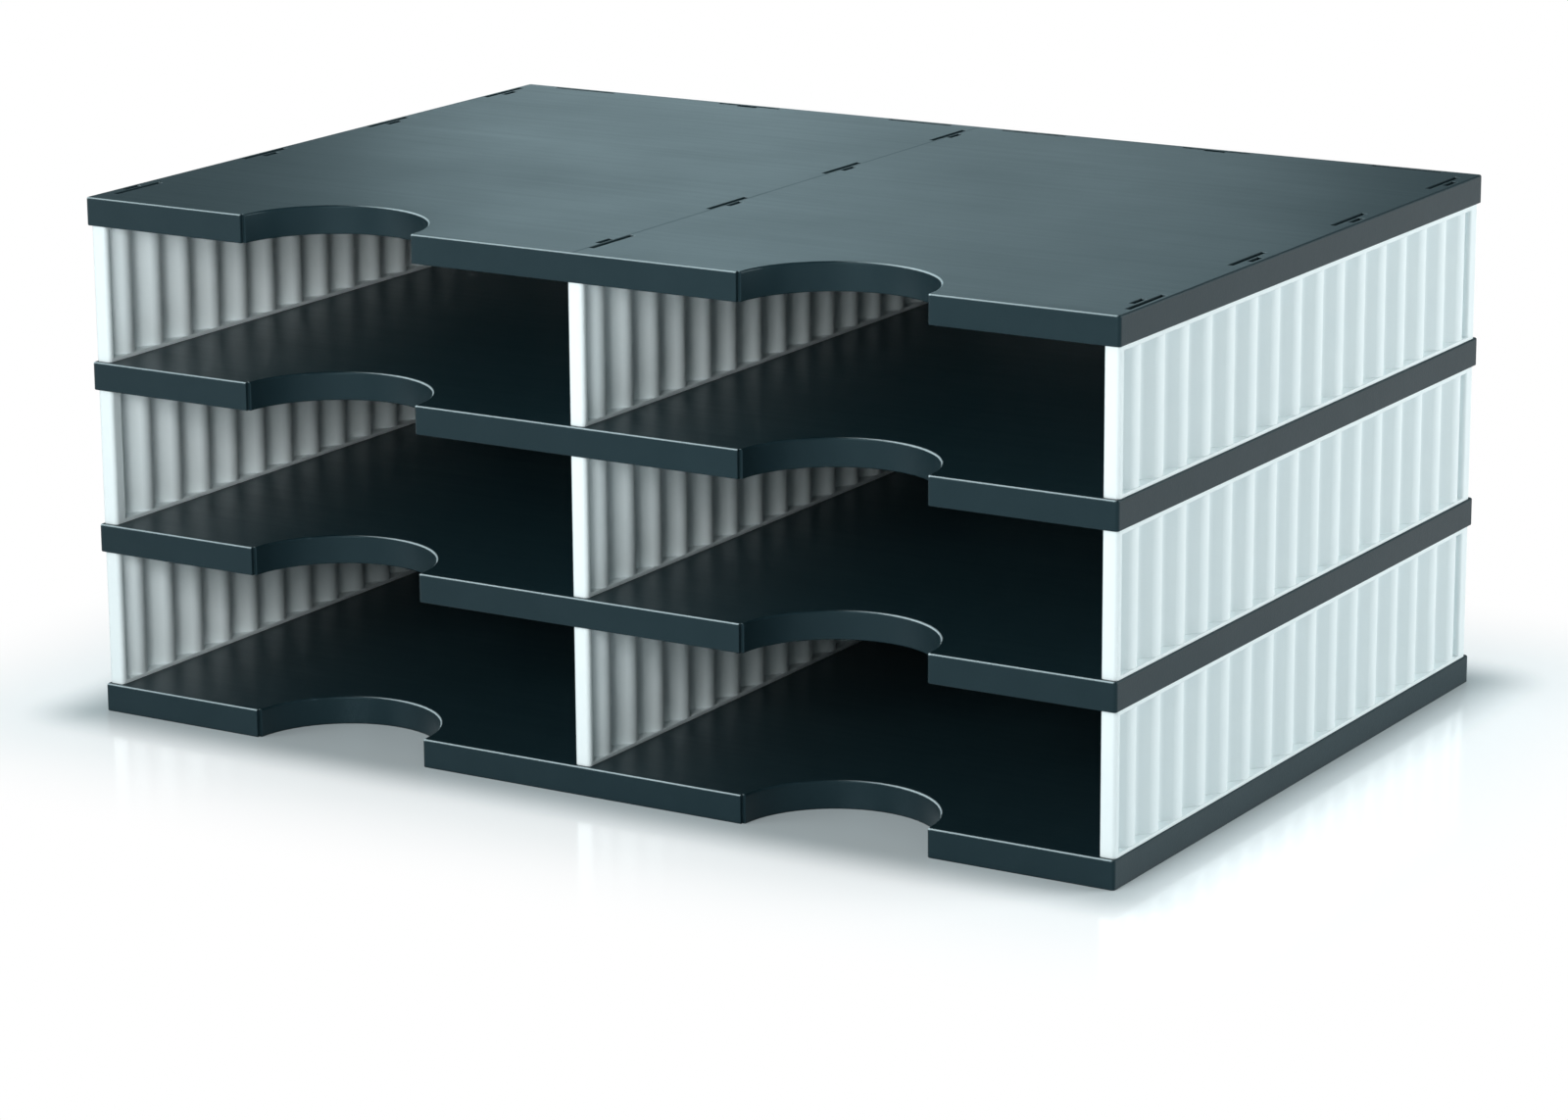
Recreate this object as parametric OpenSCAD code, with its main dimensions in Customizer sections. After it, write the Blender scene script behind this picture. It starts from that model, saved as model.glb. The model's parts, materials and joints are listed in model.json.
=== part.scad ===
// Letter tray stack with six open compartments: two columns by three levels.
// Four black shelves lie on nine corrugated white walls, and six plain walls close the back.
// The stack plugs together. Tabs under a wall drop through slots in the shelf below it, where
// latches hook under the deck, and ridges on top of the wall sit in channels of the next shelf.
// The origin is the middle of the footprint, on the table. The front faces -Y.

/* [Stack] */
// Width of a shelf, side to side
shelf_w = 485; // [430:1:560]
// Depth of a shelf, front to back
shelf_d = 331; // [290:1:380]
// Clear height of a compartment
bay_h = 58.3; // [40:0.1:90]

/* [Shelf] */
// Height of a shelf's edge
shelf_h = 12; // [10:0.1:16]
// Thickness of the deck
deck_t = 2.5; // [1.6:0.1:3.2]
// Thickness of the rim round the deck
rim_t = 1.8; // [1.6:0.1:2.4]
// Rounding of the rim's upper edge
top_edge_r = 0.8; // [0.4:0.1:1]
// Rounding of the rim's lower edge
foot_edge_r = 0.4; // [0.2:0.1:0.6]
// Rounding of the upright corners, also where a thumb cut-out meets the front
corner_r = 1.5; // [1.2:0.1:2]
// Radius of a thumb cut-out
cutout_r = 41.6; // [25:0.1:60]
// Thickness of the ribs under the deck
rib_t = 1.4; // [1:0.1:2]
// Height of the ribs under the deck
rib_h = 4; // [2:0.1:6]
// Largest spacing of the ribs under the deck
rib_pitch = 80; // [50:1:120]

/* [Walls] */
// Thickness of an upright wall
wall_t = 7.2; // [6.8:0.1:9]
// Thickness of a back wall
back_t = 4.4; // [4:0.1:6]
// How far a shelf's side stands out past the side wall
side_setback = 0.7; // [0:0.1:1]
// How far a shelf's front edge stands out past the walls
front_setback = 2; // [0.5:0.1:4]
// How far a shelf's back edge stands out past the walls
back_setback = 2.2; // [0.5:0.1:4]
// Rounding of a wall's upright edges
wall_edge_r = 1.8; // [0.5:0.1:2]
// Play between a back wall's end and the wall beside it
back_play = 0.3; // [0.1:0.1:0.8]

/* [Corrugated web] */
// Thickness of the web
web_t = 2; // [1.2:0.1:2.6]
// Spacing of the web's waves
web_pitch = 19.85; // [16:0.05:26]
// Rise of a web's flank over its run
flank_slope = 0.75; // [0.66:0.01:0.84]
// How far the web's waves stay behind the faces of the frame
web_setback = 0.15; // [0.05:0.05:0.6]
// Front end of a wall to the first bend away from the right face
first_bend = 5; // [2:0.1:12]
// Width of the post at the front end of a wall
front_post_w = 2.8; // [2.2:0.1:8]
// Width of the post at the back end of a wall
back_post_w = 7.6; // [4:0.1:10]
// Height of the flange under the web
lower_flange_h = 1.5; // [1:0.1:4]
// Height of the flange over the web
upper_flange_h = 2; // [1:0.1:4]

/* [Slots and lower tabs] */
// Width of a slot
slot_w = 2.4; // [1.8:0.1:2.6]
// Length of a long slot in a side or centre line
slot_l = 30; // [20:0.5:36]
// Length of a long slot in the back line
back_slot_l = 32; // [20:0.5:36]
// Length of a latch slot
latch_slot_l = 10; // [6:0.5:14]
// Deck left between a long slot and its latch slot in a side or centre line
slot_gap = 1; // [0.8:0.1:2]
// Deck left between the rim and the nearest slot
slot_edge = 0.2; // [0.1:0.1:0.5]
// Front edge of the shelf to the first slot
slot_front = 12; // [8:0.5:20]
// Last slot to the back edge of the shelf
slot_back = 11.5; // [10.5:0.5:20]
// End of a back wall to its first slot
back_slot_end = 9.2; // [6:0.1:20]
// Play of a tab in its slot or channel, on each side
tab_play = 0.2; // [0.1:0.05:0.3]
// How far a long tab reaches below the deck
tab_reach = 3; // [1.5:0.1:4]
// Thickness of the springy latch
latch_t = 1; // [0.8:0.1:1.2]
// How far the latch's hook reaches out
hook_reach = 0.7; // [0.4:0.1:0.8]
// Height of the latch's hook
hook_h = 2; // [1.2:0.1:3]

/* [Rails and upper ridges] */
// Thickness of the walls of a rail's channel
channel_wall = 1.2; // [0.8:0.1:1.4]
// Height of the ridges on top of a wall
ridge_h = 6; // [3:0.1:6.5]
// Opening left in a rail past each end of a slot
pocket_end = 3; // [1:0.5:5]

/* [Hidden] */
SHELVES = ["bottom", "lower", "upper", "top"];
LEVELS = ["bottom", "middle", "top"];
SIDES = ["left", "centre", "right"];

$fn = 96;
// Overlap that joins two bodies of one piece, and overshoot of a cut
lap = 0.5;
// Slots in one line of upright walls, and in the back line of one column
line_slots = 4;
back_slots = 3;

storey_h = shelf_h + bay_h;
rail_h = shelf_h - deck_t;
side_x = shelf_w / 2;
front_y = -shelf_d / 2;
back_y = shelf_d / 2;

// Distance between the middles of a long slot and its latch slot; in the back line they join
slot_step = slot_gap + slot_w;
back_slot_step = slot_w - 2 * tab_play;

// Lines of the walls, and of the side walls' slots
side_wall_x = side_x - side_setback - wall_t / 2;
side_slot_x = side_x - rim_t - slot_edge - (slot_step + slot_w) / 2;
back_wall_y = back_y - rim_t - slot_edge - (back_slot_step + slot_w) / 2;
wall_ends = [front_y + front_setback, back_y - back_setback];

// A column is the room between a side wall and the centre wall
column_x = side_wall_x / 2;
column_w = side_wall_x - wall_t;
back_wall_half = column_w / 2 - back_play;

// Middles of the slots along a wall line, and along a column's back line
line_pitch = (shelf_d - slot_front - slot_back - slot_l) / (line_slots - 1);
line_u = [for (i = [0 : line_slots - 1]) front_y + slot_front + slot_l / 2 + i * line_pitch];
back_pitch = (2 * (back_wall_half - back_slot_end) - back_slot_l) / (back_slots - 1);
back_u = [for (i = [0 : back_slots - 1]) (i - (back_slots - 1) / 2) * back_pitch];

// Side of the long slot at each station: 1 is the right or back side, -1 the left or front side
line_sides = [1, -1, -1, -1];
back_sides = [-1, -1, -1];
// Which stations have a latch
line_latches = [true, true, true, true];
back_latches = [false, true, false];

// Side and level of the wall whose panel is turned end for end: left, middle level
turned_wall = [-1, 1];

// The web is a row of bends joined by straight flanks; sizes are those of its middle line
flank_angle = atan(flank_slope);
wave_h = wall_t - 2 * web_setback - web_t;
bend_r = (web_pitch / 2 * sin(flank_angle) - wave_h * cos(flank_angle)) / (2 - 2 * cos(flank_angle));
flank_l = (wave_h - 2 * bend_r * (1 - cos(flank_angle))) / sin(flank_angle);

// Middle of the rounding between the front edge and a cut-out, which bites a hair into both
lip_bite = 0.02;
lip_reach = cutout_r + corner_r - lip_bite;
lip_x = sqrt(pow(lip_reach, 2) - pow(corner_r, 2));
lip_angle = asin(corner_r / lip_reach);
// Length of front rim that is modelled with each end of a cut-out
stub_l = (column_x - lip_x) / 2;
// How far the deck's outline lies inside the rim's outer face
deck_inset = (top_edge_r + rim_t) / 2;

black = [0.16, 0.19, 0.2];
white = [0.93, 0.96, 0.96];

// ---- Shared shapes ----

// Upright block centred on the origin in X and Y, standing on z = 0
module block(size) {
    translate([-size[0] / 2, -size[1] / 2, 0])
        cube(size);
}

// Rectangle round the origin with rounded corners
module round_rect(size, r) {
    square([size[0] - 2 * r, size[1]], center = true);
    square([size[0], size[1] - 2 * r], center = true);
    for (x = [-1, 1], y = [-1, 1])
        translate([x * (size[0] / 2 - r), y * (size[1] / 2 - r)])
            circle(r);
}

// Turns work laid out along X so that it runs from the front to the back at a given x
module along_depth(x) {
    translate([x, 0, 0])
        rotate([0, 0, 90])
            children();
}

// ---- Rim of a shelf ----

// Section of the rim: its outer face is at x = 0 and its foot at y = 0
module rim_section() {
    translate([top_edge_r, 0])
        square([rim_t - top_edge_r, shelf_h]);
    translate([foot_edge_r, 0])
        square([rim_t - foot_edge_r, shelf_h - top_edge_r]);
    translate([0, foot_edge_r])
        square([rim_t, shelf_h - top_edge_r - foot_edge_r]);
    translate([foot_edge_r, foot_edge_r])
        circle(foot_edge_r);
    translate([top_edge_r, shelf_h - top_edge_r])
        circle(top_edge_r);
}

// Straight rim from the origin along +X, with its outer face towards -Y
module straight_rim(length) {
    rotate([90, 0, 90])
        linear_extrude(length)
            rim_section();
}

// Round post that rounds an outward corner of the rim
module corner_post() {
    rotate_extrude()
        intersection() {
            translate([corner_r, 0])
                mirror([1, 0])
                    rim_section();
            square([corner_r, shelf_h]);
        }
}

// Rim of a thumb cut-out, round the middle of its arc, with a stub of the front rim on each side
module cutout_rim() {
    rotate([0, 0, lip_angle])
        rotate_extrude(angle = 180 - 2 * lip_angle)
            translate([cutout_r, 0])
                rim_section();
    for (side = [-1, 1])
        translate([side * lip_x, corner_r, 0])
            corner_post();
    translate([lip_x, 0, 0])
        straight_rim(stub_l);
    translate([-lip_x - stub_l, 0, 0])
        straight_rim(stub_l);
}

// The front pieces of the rim end inside the stubs of the cut-outs
module front_rim() {
    for (x = [-column_x, column_x])
        translate([x, front_y, 0])
            cutout_rim();
    centre_half = column_x - lip_x - stub_l / 2;
    translate([-centre_half, front_y, 0])
        straight_rim(2 * centre_half);
    side_l = side_x - corner_r - column_x - lip_x - stub_l / 2;
    for (from = [corner_r - side_x, side_x - corner_r - side_l])
        translate([from, front_y, 0])
            straight_rim(side_l);
}

module rim() {
    front_rim();
    translate([side_x - corner_r, back_y, 0])
        rotate([0, 0, 180])
            straight_rim(shelf_w - 2 * corner_r);
    translate([side_x, front_y + corner_r, 0])
        rotate([0, 0, 90])
            straight_rim(shelf_d - 2 * corner_r);
    translate([-side_x, back_y - corner_r, 0])
        rotate([0, 0, -90])
            straight_rim(shelf_d - 2 * corner_r);
    for (x = [-side_x + corner_r, side_x - corner_r], y = [front_y + corner_r, back_y - corner_r])
        translate([x, y, 0])
            corner_post();
}

// ---- Deck, ribs and rails of a shelf ----

module deck_outline() {
    difference() {
        square([shelf_w - 2 * deck_inset, shelf_d - 2 * deck_inset], center = true);
        for (x = [-column_x, column_x])
            translate([x, front_y])
                circle(cutout_r + deck_inset);
    }
}

// Grid of shallow ribs that stiffens the deck
module deck_ribs() {
    rows = ceil(shelf_d / rib_pitch);
    columns = ceil(column_w / rib_pitch);
    intersection() {
        translate([0, 0, rail_h - rib_h])
            linear_extrude(rib_h + lap)
                deck_outline();
        translate([0, 0, rail_h - rib_h]) {
            for (i = [1 : rows - 1])
                translate([0, front_y + i * shelf_d / rows, 0])
                    block([shelf_w, rib_t, rib_h + lap]);
            for (x = [-column_x, column_x], i = [1 : columns - 1])
                translate([x + (i / columns - 0.5) * column_w, 0, 0])
                    block([rib_t, shelf_d, rib_h + lap]);
        }
    }
}

// Length of the channel between two pockets, for slots of one length at one spacing
function channel_l(pitch, slot_length) = pitch - slot_length - 2 * pocket_end - 2 * channel_wall;

// What is cut out of a rail along X: a pocket round each slot, so that the tabs can pass, and
// between the pockets the channels for the ridges of the wall below
module rail_cuts(stations, slot_length, thickness) {
    pitch = stations[1] - stations[0];
    for (u = stations)
        translate([u, 0, -lap])
            block([slot_length + 2 * pocket_end, thickness + 2 * lap, rail_h + lap]);
    for (i = [0 : len(stations) - 2])
        translate([stations[i] + pitch / 2, 0, -lap])
            block([channel_l(pitch, slot_length), thickness - 2 * channel_wall, rail_h + lap]);
}

// Slots along X: a long one at each station and a short one beside it where there is a latch
module slots(stations, slot_length, step, sides, latches) {
    for (i = [0 : len(stations) - 1])
        translate([stations[i], 0, rail_h - lap]) {
            translate([0, -sides[i] * step / 2, 0])
                block([slot_length, slot_w, deck_t + 2 * lap]);
            if (latches[i])
                translate([0, sides[i] * step / 2, 0])
                    block([latch_slot_l, slot_w, deck_t + 2 * lap]);
        }
}

// The rails carry the walls below along their whole top edges
module rails() {
    difference() {
        union() {
            for (x = [-side_wall_x, 0, side_wall_x])
                along_depth(x)
                    block([shelf_d - rim_t, wall_t, rail_h + lap]);
            translate([0, back_wall_y, 0])
                block([shelf_w - rim_t, back_t, rail_h + lap]);
        }
        for (x = [-side_wall_x, 0, side_wall_x])
            along_depth(x)
                rail_cuts(line_u, slot_l, wall_t);
        for (x = [-column_x, column_x])
            translate([x, back_wall_y, 0])
                rail_cuts(back_u, back_slot_l, back_t);
    }
}

module shelf(storey) {
    color(black)
        translate([0, 0, storey * storey_h])
            difference() {
                union() {
                    rim();
                    translate([0, 0, rail_h])
                        linear_extrude(deck_t)
                            deck_outline();
                    deck_ribs();
                    rails();
                }
                for (x = [-side_slot_x, 0, side_slot_x])
                    along_depth(x)
                        slots(line_u, slot_l, slot_step, line_sides, line_latches);
                for (x = [-column_x, column_x])
                    translate([x, back_wall_y, 0])
                        slots(back_u, back_slot_l, back_slot_step, back_sides, back_latches);
            }
}

// ---- Walls, laid out along X on z = 0 ----

// Long tab through its slot
module long_tab(length) {
    translate([0, 0, -deck_t - tab_reach])
        block([length - 2 * tab_play, slot_w - 2 * tab_play, deck_t + tab_reach + lap]);
}

// Latch at the wall of its slot that faces +Y, with its hook under the deck behind that wall
module latch() {
    latch_l = latch_slot_l - 2 * tab_play;
    face = slot_w / 2 - tab_play;
    translate([0, face - latch_t / 2, -deck_t - tab_play - hook_h]) {
        block([latch_l, latch_t, deck_t + tab_play + hook_h + lap]);
        translate([0, hook_reach / 2, 0])
            block([latch_l, latch_t + hook_reach, hook_h]);
    }
}

// Tabs and latches under a wall; a hook points to its long tab where hook_in is true
module lower_tabs(stations, slot_length, step, sides, latches, hook_in) {
    for (i = [0 : len(stations) - 1])
        translate([stations[i], 0, 0]) {
            translate([0, -sides[i] * step / 2, 0])
                long_tab(slot_length);
            if (latches[i])
                translate([0, sides[i] * step / 2, 0])
                    mirror([0, (sides[i] > 0) == hook_in ? 1 : 0, 0])
                        latch();
        }
}

// Ridges on top of a wall, one for each channel of the rail above
module ridges(stations, slot_length, thickness) {
    pitch = stations[1] - stations[0];
    for (i = [0 : len(stations) - 2])
        translate([stations[i] + pitch / 2, 0, bay_h - lap])
            block([
                channel_l(pitch, slot_length) - 2 * tab_play,
                thickness - 2 * channel_wall - 2 * tab_play,
                ridge_h + lap
            ]);
}

// Upright prism between two places along X, rounded like the walls
module post(from, to, thickness, height) {
    translate([(from + to) / 2, 0, 0])
        linear_extrude(height)
            round_rect([to - from, thickness], wall_edge_r);
}

// Bend at the top of a wave, round the middle of its arc
module bend() {
    reach = bend_r + web_t;
    translate([0, wave_h / 2 - bend_r])
        intersection() {
            difference() {
                circle(bend_r + web_t / 2);
                circle(bend_r - web_t / 2);
            }
            polygon([[0, 0], [-reach * tan(flank_angle), reach], [reach * tan(flank_angle), reach]]);
        }
}

// Straight flank from the bend at the origin down to the next one on the right
module flank() {
    translate([0, wave_h / 2 - bend_r])
        rotate(-flank_angle)
            translate([0, bend_r - web_t / 2])
                square([flank_l, web_t]);
}

// Plan of the web, from the front post to the back post
module web_plan() {
    from = wall_ends[0] + front_post_w;
    to = wall_ends[1] - back_post_w;
    intersection() {
        translate([from - lap, -wall_t / 2])
            square([to - from + 2 * lap, wall_t]);
        for (u = [wall_ends[0] + first_bend - web_pitch : web_pitch : wall_ends[1] + web_pitch])
            translate([u, 0]) {
                bend();
                flank();
                mirror([1, 0])
                    flank();
                translate([web_pitch / 2, 0])
                    rotate(180)
                        bend();
            }
    }
}

// Posts, flanges and web of an upright wall
module wall_panel() {
    intersection() {
        post(wall_ends[0], wall_ends[1], wall_t, bay_h);
        translate([wall_ends[0], -wall_t / 2, 0])
            cube([front_post_w, wall_t, bay_h]);
    }
    post(wall_ends[1] - back_post_w, wall_ends[1], wall_t, bay_h);
    post(wall_ends[0], wall_ends[1], wall_t, lower_flange_h);
    translate([0, 0, bay_h - upper_flange_h])
        post(wall_ends[0], wall_ends[1], wall_t, upper_flange_h);
    translate([0, 0, lower_flange_h - lap])
        linear_extrude(bay_h - lower_flange_h - upper_flange_h + 2 * lap)
            web_plan();
}

// Turns a wall's panel so that its ends change places
module end_for_end(turned) {
    translate([turned ? wall_ends[0] + wall_ends[1] : 0, 0, 0])
        rotate([0, 0, turned ? 180 : 0])
            children();
}

// Upright wall of one level; side is -1 for the left, 0 for the centre and 1 for the right
module upright_wall(side, level) {
    color(white)
        translate([0, 0, level * storey_h + shelf_h]) {
            along_depth(side * side_wall_x) {
                end_for_end([side, level] == turned_wall)
                    wall_panel();
                ridges(line_u, slot_l, wall_t);
            }
            along_depth(side * side_slot_x)
                lower_tabs(line_u, slot_l, slot_step, line_sides, line_latches, true);
        }
}

// Back wall of one compartment; side is -1 for the left column and 1 for the right
module back_wall(side, level) {
    color(white)
        translate([side * column_x, back_wall_y, level * storey_h + shelf_h]) {
            post(-back_wall_half, back_wall_half, back_t, bay_h);
            ridges(back_u, back_slot_l, back_t);
            lower_tabs(back_u, back_slot_l, back_slot_step, back_sides, back_latches, false);
        }
}

for (storey = [0 : 3])
    shelf(storey);
for (i = [0, 1, 2], k = [0, 1, 2])
    upright_wall(i - 1, k);
for (i = [0, 2], k = [0, 1, 2])
    back_wall(i - 1, k);
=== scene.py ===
"""Letter tray stack in a plain pale studio: finishes, floor, soft light and camera."""

import json
import math

import bpy
from mathutils import Matrix, Vector


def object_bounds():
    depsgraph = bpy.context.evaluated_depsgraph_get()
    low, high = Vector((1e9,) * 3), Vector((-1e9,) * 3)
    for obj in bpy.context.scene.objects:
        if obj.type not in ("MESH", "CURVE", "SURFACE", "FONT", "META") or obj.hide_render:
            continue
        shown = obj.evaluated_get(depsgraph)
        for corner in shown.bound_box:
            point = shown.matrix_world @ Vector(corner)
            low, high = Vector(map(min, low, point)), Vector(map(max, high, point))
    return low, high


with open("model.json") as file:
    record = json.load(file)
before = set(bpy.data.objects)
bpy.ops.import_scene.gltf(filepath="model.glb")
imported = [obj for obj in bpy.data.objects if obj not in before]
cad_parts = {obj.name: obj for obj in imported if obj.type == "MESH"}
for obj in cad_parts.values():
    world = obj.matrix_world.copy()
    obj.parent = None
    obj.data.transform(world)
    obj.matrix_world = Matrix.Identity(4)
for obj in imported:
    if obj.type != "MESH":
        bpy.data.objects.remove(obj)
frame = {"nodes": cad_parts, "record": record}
cad_low, cad_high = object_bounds()
CENTRE = (cad_low + cad_high) / 2

# ---- Camera ----
# Found by fitting the corners of the shelves to the photograph
LENS_MM = 115.2
SENSOR_MM = 36.0
CAMERA_AT = Vector((1.0755, -1.7755, 0.607))
YAW_DEG = 31.29
PITCH_DEG = 14.75
ROLL_DEG = -0.37
CLIP_END = 50

# ---- Light ----
LAMP_TINT = (0.95, 0.975, 0.975)
SHEEN_TINT = (0.72, 0.97, 1.05)
# Each softbox: azimuth and elevation of its place in degrees, its distance, width and height in
# metres, its radiance and its tint. Azimuth 0 is in front of the stack and 90 is on its right.
SOFTBOXES = {
    "key_left": (-48, 33, 1.6, 0.9, 0.9, 0.6, LAMP_TINT),
    "low_left": (-42, 8, 1.36, 0.5, 0.5, 2.8, LAMP_TINT),
    "front": (17, 20, 1.2, 0.5, 0.5, 2.3, LAMP_TINT),
    "front_near": (5, 17, 0.95, 0.5, 0.25, 9.8, LAMP_TINT),
    "right_back": (122, 15, 2.4, 1.5, 1.2, 6.6, LAMP_TINT),
    "back_centre": (205, 17, 2.4, 0.42, 0.9, 0.75, SHEEN_TINT),
    "back_left": (215, 17, 2.4, 0.42, 0.9, 1.2, SHEEN_TINT),
}
ROOM_LIGHT = 0.27
ROOM_TINT = (0.82, 0.98, 0.98)
# The room as the satin plastic mirrors it
SHEEN_LIGHT = 0.27

# ---- Finish ----
EDGE_RADIUS = 0.0006
# Rays for each soft edge and each recess
SHADER_SAMPLES = 4
# Each plastic: its two mottled colours, its least and most roughness, the scale of its grain and
# the strength of the grain's bump
BLACK = ((0.008, 0.019, 0.024, 1), (0.012, 0.025, 0.031, 1), 0.33, 0.39, 1400.0, 0.22)
WHITE = ((0.81, 0.88, 0.90, 1), (0.85, 0.91, 0.92, 1), 0.38, 0.44, 900.0, 0.08)
# Noise of every plastic: scale and detail of the mottle, the flow and the streaks
MOTTLE = (60.0, 4.0)
FLOW = (14.0, 4.0)
STREAKS = (260.0, 3.0)
STREAK_STRETCH = (0.03, 1.0, 1.0)
STREAK_SHARE = 0.45
GRAIN_DETAIL = 2.0
GRAIN_HEIGHT = 0.0002
# Values of the uneven gloss that give the least and the most roughness
UNEVEN_FROM = 0.3
UNEVEN_TO = 0.7
BLACK_GLOSS = 0.19
BLACK_GLOSS_TINT = (0.62, 0.9, 1.0, 1)
BLACK_SHEEN = 0.01
BLACK_SHEEN_ROUGHNESS = 0.4
BLACK_SHEEN_TINT = (0.05, 0.8, 1.0, 1)
# Painted highlight on upper edges: the way they face, how nearly a point must face so, its colour
HIGHLIGHT_FACES = (-0.35, -0.55, 0.76)
HIGHLIGHT_FROM = 0.78
HIGHLIGHT_TO = 0.97
HIGHLIGHT_COLOUR = (0.55, 0.66, 0.70, 1)
# Painted shade in recesses such as the slots: how far one is looked for, and the openness that
# makes it black or leaves it
RECESS_SHADE_REACH = 0.004
RECESS_FROM = 0.15
RECESS_TO = 0.5
# Faint seam along a shelf's middle: half its width, its roughness, and how far up its faces look
SEAM_HALF_WIDTH = 0.0007
SEAM_ROUGHNESS = 0.5
SEAM_FACES = 0.9

# ---- Floor ----
FLOOR_SIZE = 30
FLOOR_COLOUR = (0.80, 0.86, 0.89, 1)
FLOOR_ROUGHNESS = 0.12
FLOOR_IOR = 1.6
# Glow added to the floor as the camera sees it, and as gloss and glass mirror it
FLOOR_LIFT = 0.42
MIRRORED_LIFT = 0.12
# Distances from the stack's base at which its contact shade, real and partly painted by holding
# back the floor's glow, and all of its shade are gone
CONTACT_FAR = 0.04
SHADE_FAR = 0.13


# ---- Node helpers ----


def new_material(name):
    material = bpy.data.materials.new(name)
    material.use_nodes = True
    tree = material.node_tree
    return material, tree, tree.nodes["Principled BSDF"]


def add(tree, kind, inputs=None, **settings):
    """Adds a node; inputs maps a socket's name or number to a value or to another node's socket."""
    node = tree.nodes.new(kind)
    for name, value in settings.items():
        setattr(node, name, value)
    for socket, value in (inputs or {}).items():
        if isinstance(value, bpy.types.NodeSocket):
            tree.links.new(value, node.inputs[socket])
        else:
            node.inputs[socket].default_value = value
    return node


def position(tree):
    return add(tree, "ShaderNodeNewGeometry").outputs["Position"]


def noise(tree, at, scale, detail):
    return add(tree, "ShaderNodeTexNoise", {"Vector": at, "Scale": scale, "Detail": detail})


# ---- Materials ----


def soft_edges(tree):
    """Normal that rounds the moulding's edges a little, so that they catch the light."""
    return add(tree, "ShaderNodeBevel", {"Radius": EDGE_RADIUS}, samples=SHADER_SAMPLES).outputs[
        "Normal"
    ]


def streaks(tree, at):
    """Faint lines that the flow of the melt leaves along the moulding's width."""
    stretched = add(tree, "ShaderNodeMapping", {"Vector": at, "Scale": STREAK_STRETCH})
    return noise(tree, stretched.outputs["Vector"], *STREAKS).outputs["Fac"]


def seam(tree, at):
    """1 on the thin seam along the middle of the upper faces, 0 elsewhere."""
    place = add(tree, "ShaderNodeSeparateXYZ", {0: at})
    facing = add(
        tree, "ShaderNodeSeparateXYZ", {0: add(tree, "ShaderNodeNewGeometry").outputs["Normal"]}
    )
    upper = add(
        tree, "ShaderNodeMath", {0: facing.outputs["Z"], 1: SEAM_FACES}, operation="GREATER_THAN"
    )
    off = add(tree, "ShaderNodeMath", {0: place.outputs["X"], 1: CENTRE.x}, operation="SUBTRACT")
    apart = add(tree, "ShaderNodeMath", {0: off.outputs[0]}, operation="ABSOLUTE")
    line = add(
        tree,
        "ShaderNodeMapRange",
        {
            "Value": apart.outputs[0],
            "From Min": 0.0,
            "From Max": SEAM_HALF_WIDTH,
            "To Min": 1.0,
            "To Max": 0.0,
        },
    )
    both = {0: line.outputs["Result"], 1: upper.outputs[0]}
    return add(tree, "ShaderNodeMath", both, operation="MULTIPLY").outputs[0]


def moulded_plastic(name, colour_a, colour_b, rough_low, rough_high, grains, strength):
    """Satin moulding: mottled colour, slightly uneven gloss, a fine even grain and soft edges."""
    material, tree, bsdf = new_material(name)
    at = position(tree)
    grain = noise(tree, at, grains, GRAIN_DETAIL)
    mottle = noise(tree, at, *MOTTLE)
    flow = noise(tree, at, *FLOW)
    uneven = add(
        tree,
        "ShaderNodeMix",
        {"Factor": STREAK_SHARE, "A": flow.outputs["Fac"], "B": streaks(tree, at)},
    )
    colour = add(
        tree,
        "ShaderNodeMix",
        {"Factor": mottle.outputs["Fac"], "A": colour_a, "B": colour_b},
        data_type="RGBA",
    )
    rough = add(
        tree,
        "ShaderNodeMapRange",
        {
            "Value": uneven.outputs["Result"],
            "From Min": UNEVEN_FROM,
            "From Max": UNEVEN_TO,
            "To Min": rough_low,
            "To Max": rough_high,
        },
    )
    bump = add(
        tree,
        "ShaderNodeBump",
        {
            "Height": grain.outputs["Fac"],
            "Strength": strength,
            "Distance": GRAIN_HEIGHT,
            "Normal": soft_edges(tree),
        },
    )
    tree.links.new(colour.outputs["Result"], bsdf.inputs["Base Color"])
    tree.links.new(rough.outputs["Result"], bsdf.inputs["Roughness"])
    tree.links.new(bump.outputs["Normal"], bsdf.inputs["Normal"])
    return material, tree, bsdf


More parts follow.
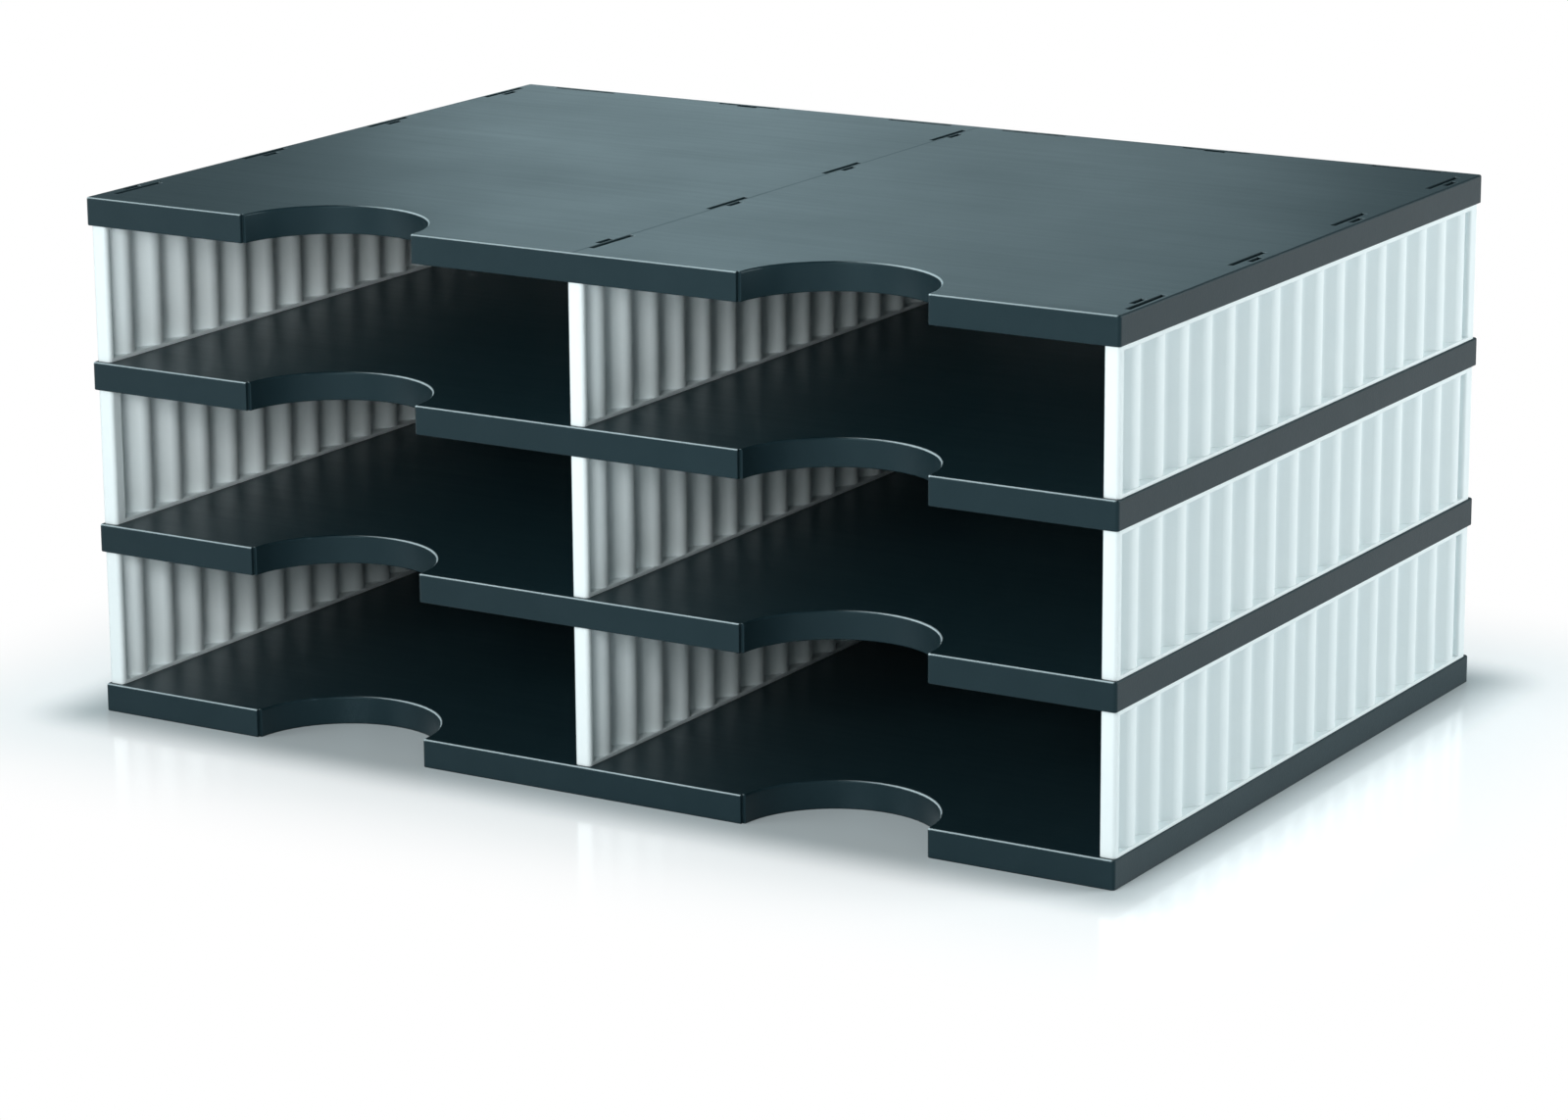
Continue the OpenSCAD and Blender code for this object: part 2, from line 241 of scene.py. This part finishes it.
def black_plastic():
    material, tree, bsdf = moulded_plastic("black_plastic", *BLACK)
    bsdf.inputs["Specular IOR Level"].default_value = BLACK_GLOSS
    bsdf.inputs["Specular Tint"].default_value = BLACK_GLOSS_TINT
    bsdf.inputs["Sheen Weight"].default_value = BLACK_SHEEN
    bsdf.inputs["Sheen Roughness"].default_value = BLACK_SHEEN_ROUGHNESS
    bsdf.inputs["Sheen Tint"].default_value = BLACK_SHEEN_TINT
    # Painted highlight: upper edges that face front, left and up are painted paler
    facing = add(
        tree,
        "ShaderNodeVectorMath",
        {0: soft_edges(tree), 1: HIGHLIGHT_FACES},
        operation="DOT_PRODUCT",
    )
    painted_highlight = add(
        tree,
        "ShaderNodeMapRange",
        {"Value": facing.outputs["Value"], "From Min": HIGHLIGHT_FROM, "From Max": HIGHLIGHT_TO},
        interpolation_type="SMOOTHSTEP",
    )
    colour = add(
        tree,
        "ShaderNodeMix",
        {
            "Factor": painted_highlight.outputs["Result"],
            "A": bsdf.inputs["Base Color"].links[0].from_socket,
            "B": HIGHLIGHT_COLOUR,
        },
        data_type="RGBA",
    )
    tree.links.new(colour.outputs["Result"], bsdf.inputs["Base Color"])
    # Painted shade: the base colour goes black in recesses such as the slots
    recess = add(
        tree, "ShaderNodeAmbientOcclusion", {"Distance": RECESS_SHADE_REACH}, samples=SHADER_SAMPLES
    )
    open_air = add(
        tree,
        "ShaderNodeMapRange",
        {"Value": recess.outputs["AO"], "From Min": RECESS_FROM, "From Max": RECESS_TO},
        interpolation_type="SMOOTHSTEP",
    )
    painted_recess_shade = add(
        tree,
        "ShaderNodeMix",
        {"Factor": open_air.outputs["Result"], "A": (0, 0, 0, 1), "B": colour.outputs["Result"]},
        data_type="RGBA",
    )
    tree.links.new(painted_recess_shade.outputs["Result"], bsdf.inputs["Base Color"])
    rough = bsdf.inputs["Roughness"].links[0].from_socket
    on_seam = seam(tree, position(tree))
    dulled = add(tree, "ShaderNodeMix", {"Factor": on_seam, "A": rough, "B": SEAM_ROUGHNESS})
    tree.links.new(dulled.outputs["Result"], bsdf.inputs["Roughness"])
    return material


def white_plastic(name):
    return moulded_plastic(name, *WHITE)[0]


def base_distance(tree):
    """Distance of a point of the floor from the rectangle that the stack stands on."""
    from_centre = add(
        tree, "ShaderNodeVectorMath", {0: position(tree), 1: CENTRE}, operation="SUBTRACT"
    )
    apart = add(tree, "ShaderNodeVectorMath", {0: from_centre.outputs[0]}, operation="ABSOLUTE")
    half = (cad_high - cad_low) / 2
    beyond = add(tree, "ShaderNodeVectorMath", {0: apart.outputs[0], 1: half}, operation="SUBTRACT")
    outside = add(
        tree, "ShaderNodeVectorMath", {0: beyond.outputs[0], 1: (0, 0, 0)}, operation="MAXIMUM"
    )
    length = add(tree, "ShaderNodeVectorMath", {0: outside.outputs[0]}, operation="LENGTH")
    return length.outputs["Value"]


def floor_material():
    """White floor with a shade, partly painted by holding its glow back near the base, and a soft
    reflection round the stack's base, pure white beyond.
    """
    material, tree, bsdf = new_material("studio_floor")
    bsdf.inputs["Base Color"].default_value = FLOOR_COLOUR
    bsdf.inputs["Roughness"].default_value = FLOOR_ROUGHNESS
    bsdf.inputs["IOR"].default_value = FLOOR_IOR
    ray = add(tree, "ShaderNodeLightPath")
    mirrored = add(
        tree,
        "ShaderNodeMath",
        {0: ray.outputs["Is Glossy Ray"], 1: ray.outputs["Is Transmission Ray"]},
        operation="MAXIMUM",
    )
    seen = add(
        tree,
        "ShaderNodeMath",
        {0: ray.outputs["Is Camera Ray"], 1: mirrored.outputs[0]},
        operation="MAXIMUM",
    )
    distance = base_distance(tree)
    # Painted shade: the camera's glow on the floor fades to none at the stack's base, deepening its
    # contact shade
    clear = add(
        tree,
        "ShaderNodeMapRange",
        {"Value": distance, "From Min": 0.0, "From Max": CONTACT_FAR, "To Max": FLOOR_LIFT},
        interpolation_type="SMOOTHSTEP",
    )
    lift = add(
        tree,
        "ShaderNodeMath",
        {0: ray.outputs["Is Camera Ray"], 1: clear.outputs["Result"]},
        operation="MULTIPLY",
    )
    glow = add(
        tree,
        "ShaderNodeMath",
        {0: mirrored.outputs[0], 1: MIRRORED_LIFT, 2: lift.outputs[0]},
        operation="MULTIPLY_ADD",
    )
    bsdf.inputs["Emission Color"].default_value = (1, 1, 1, 1)
    tree.links.new(glow.outputs[0], bsdf.inputs["Emission Strength"])
    white = add(tree, "ShaderNodeEmission", {"Color": (1, 1, 1, 1), "Strength": 1.0})
    fade = add(
        tree,
        "ShaderNodeMapRange",
        {"Value": distance, "From Min": 0.0, "From Max": SHADE_FAR},
        interpolation_type="SMOOTHSTEP",
    )
    both = {0: fade.outputs["Result"], 1: seen.outputs[0]}
    share = add(tree, "ShaderNodeMath", both, operation="MULTIPLY")
    mix = add(
        tree, "ShaderNodeMixShader", {0: share.outputs[0], 1: bsdf.outputs[0], 2: white.outputs[0]}
    )
    tree.links.new(mix.outputs[0], tree.nodes["Material Output"].inputs["Surface"])
    return material


# ---- The stack's finishes ----


def dress_nodes():
    materials = {
        "black_shelf": black_plastic(),
        "white_wall": white_plastic("white_wall_plastic"),
        "white_back": white_plastic("white_back_plastic"),
    }
    for part in frame["record"]["subparts"]:
        mesh = frame["nodes"][part["node"]].data
        mesh.materials.clear()
        mesh.materials.append(materials[part["material_slot"]])


# ---- Studio ----


def make_floor():
    bpy.ops.mesh.primitive_plane_add(
        size=FLOOR_SIZE, location=(CENTRE.x, CENTRE.y, cad_low.z)
    )
    floor = bpy.context.object
    floor.name = "studio_floor"
    floor.data.materials.append(floor_material())


def make_world():
    """White behind the stack; a soft room that lights it, and that its gloss mirrors."""
    world = bpy.data.worlds.new("studio")
    world.use_nodes = True
    tree = world.node_tree
    background = tree.nodes["Background"]
    ray = add(tree, "ShaderNodeLightPath")
    white = add(
        tree,
        "ShaderNodeMath",
        {0: ray.outputs["Is Camera Ray"], 1: ray.outputs["Is Transmission Ray"]},
        operation="MAXIMUM",
    )
    room = [c * ROOM_LIGHT for c in ROOM_TINT]
    sheen = [c * SHEEN_LIGHT for c in SHEEN_TINT]
    lit = add(
        tree,
        "ShaderNodeMix",
        {"Factor": ray.outputs["Is Glossy Ray"], "A": (*room, 1), "B": (*sheen, 1)},
        data_type="RGBA",
    )
    colour = add(
        tree,
        "ShaderNodeMix",
        {"Factor": white.outputs[0], "A": lit.outputs["Result"], "B": (1, 1, 1, 1)},
        data_type="RGBA",
    )
    tree.links.new(colour.outputs["Result"], background.inputs["Color"])
    bpy.context.scene.world = world


def make_softbox(name, azimuth, elevation, distance, width, height, radiance, tint):
    light = bpy.data.lights.new(name, "AREA")
    light.shape = "RECTANGLE"
    light.size = width
    light.size_y = height
    light.energy = radiance * math.pi * width * height
    light.color = tint
    lamp = bpy.data.objects.new(name, light)
    lamp.visible_camera = False
    a, e = math.radians(azimuth), math.radians(elevation)
    away = Vector((math.sin(a) * math.cos(e), -math.cos(a) * math.cos(e), math.sin(e)))
    lamp.location = CENTRE + away * distance
    lamp.rotation_mode = "QUATERNION"
    lamp.rotation_quaternion = away.to_track_quat("Z", "Y")
    bpy.context.scene.collection.objects.link(lamp)


def make_camera():
    data = bpy.data.cameras.new("camera")
    data.lens = LENS_MM
    data.sensor_width = SENSOR_MM
    data.clip_end = CLIP_END
    camera = bpy.data.objects.new("camera", data)
    turn = (
        Matrix.Rotation(math.radians(YAW_DEG), 4, "Z")
        @ Matrix.Rotation(math.radians(90 - PITCH_DEG), 4, "X")
        @ Matrix.Rotation(math.radians(ROLL_DEG), 4, "Z")
    )
    camera.matrix_world = Matrix.Translation(CAMERA_AT) @ turn
    bpy.context.scene.collection.objects.link(camera)
    bpy.context.scene.camera = camera


dress_nodes()
make_floor()
make_world()
for name, settings in SOFTBOXES.items():
    make_softbox(name, *settings)
make_camera()
bpy.context.scene.view_settings.view_transform = "Standard"
